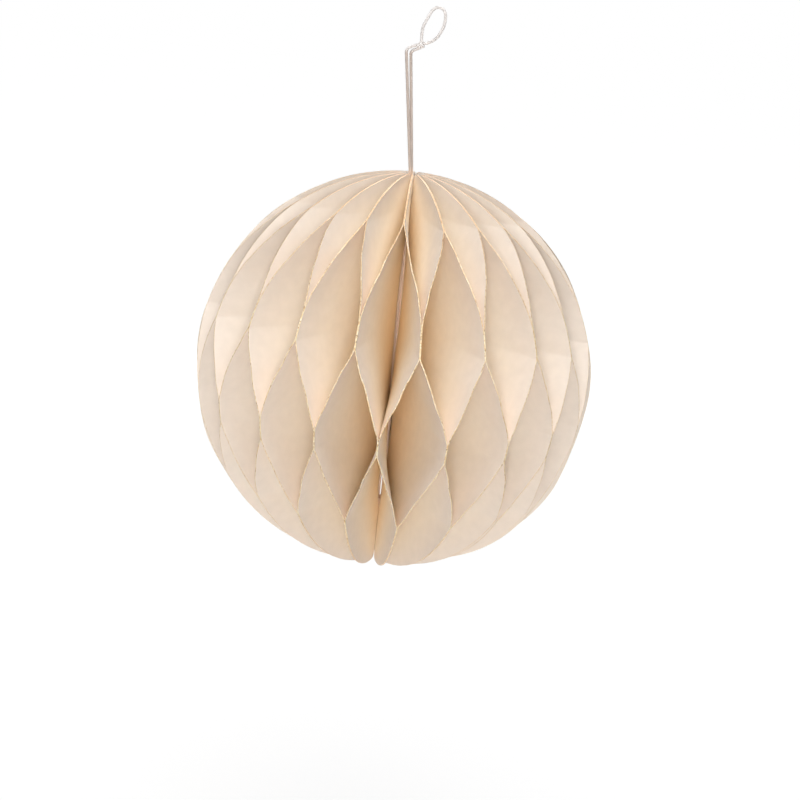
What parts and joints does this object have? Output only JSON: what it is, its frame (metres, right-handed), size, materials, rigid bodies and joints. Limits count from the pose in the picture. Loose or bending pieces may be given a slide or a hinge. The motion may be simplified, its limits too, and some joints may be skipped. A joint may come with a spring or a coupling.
{
  "type": "honeycomb paper ball",
  "caption": "Hanging honeycomb paper ball of half-disc card leaves with gilt edges, glued in rows so that they open into diamond cells, on a doubled cotton cord with a small loop.",
  "frame": {"origin": "centre of the ball, on its hollow spine", "axes": "+Z along the spine towards the hanging cord; the front glue line of the first and third rows faces -Y"},
  "size_m": [0.15, 0.15, 0.2114],
  "materials": {
    "ivory_card": "smooth matt ivory card with gilt cut edges",
    "cotton_cord": "thin twisted undyed cotton"
  },
  "bodies": {
    "root": {"leaf_01": "ivory_card", "leaf_02": "ivory_card", "leaf_03": "ivory_card", "leaf_04": "ivory_card", "leaf_05": "ivory_card", "leaf_06": "ivory_card", "leaf_07": "ivory_card", "leaf_08": "ivory_card", "leaf_09": "ivory_card", "leaf_10": "ivory_card", "leaf_11": "ivory_card", "leaf_12": "ivory_card", "leaf_13": "ivory_card", "leaf_14": "ivory_card", "leaf_15": "ivory_card", "leaf_16": "ivory_card", "leaf_17": "ivory_card", "leaf_18": "ivory_card", "leaf_19": "ivory_card", "leaf_20": "ivory_card", "leaf_21": "ivory_card", "leaf_22": "ivory_card", "leaf_23": "ivory_card", "leaf_24": "ivory_card", "leaf_25": "ivory_card", "leaf_26": "ivory_card", "leaf_27": "ivory_card", "leaf_28": "ivory_card", "leaf_29": "ivory_card", "leaf_30": "ivory_card", "leaf_31": "ivory_card", "leaf_32": "ivory_card", "leaf_33": "ivory_card", "leaf_34": "ivory_card", "leaf_35": "ivory_card", "leaf_36": "ivory_card", "leaf_37": "ivory_card", "leaf_38": "ivory_card", "leaf_39": "ivory_card", "leaf_40": "ivory_card", "cord_left_strand": "cotton_cord", "cord_right_strand": "cotton_cord", "cord_loop": "cotton_cord", "cord_knot": "cotton_cord", "cord_end_knot": "cotton_cord"}
  },
  "joints": []
}
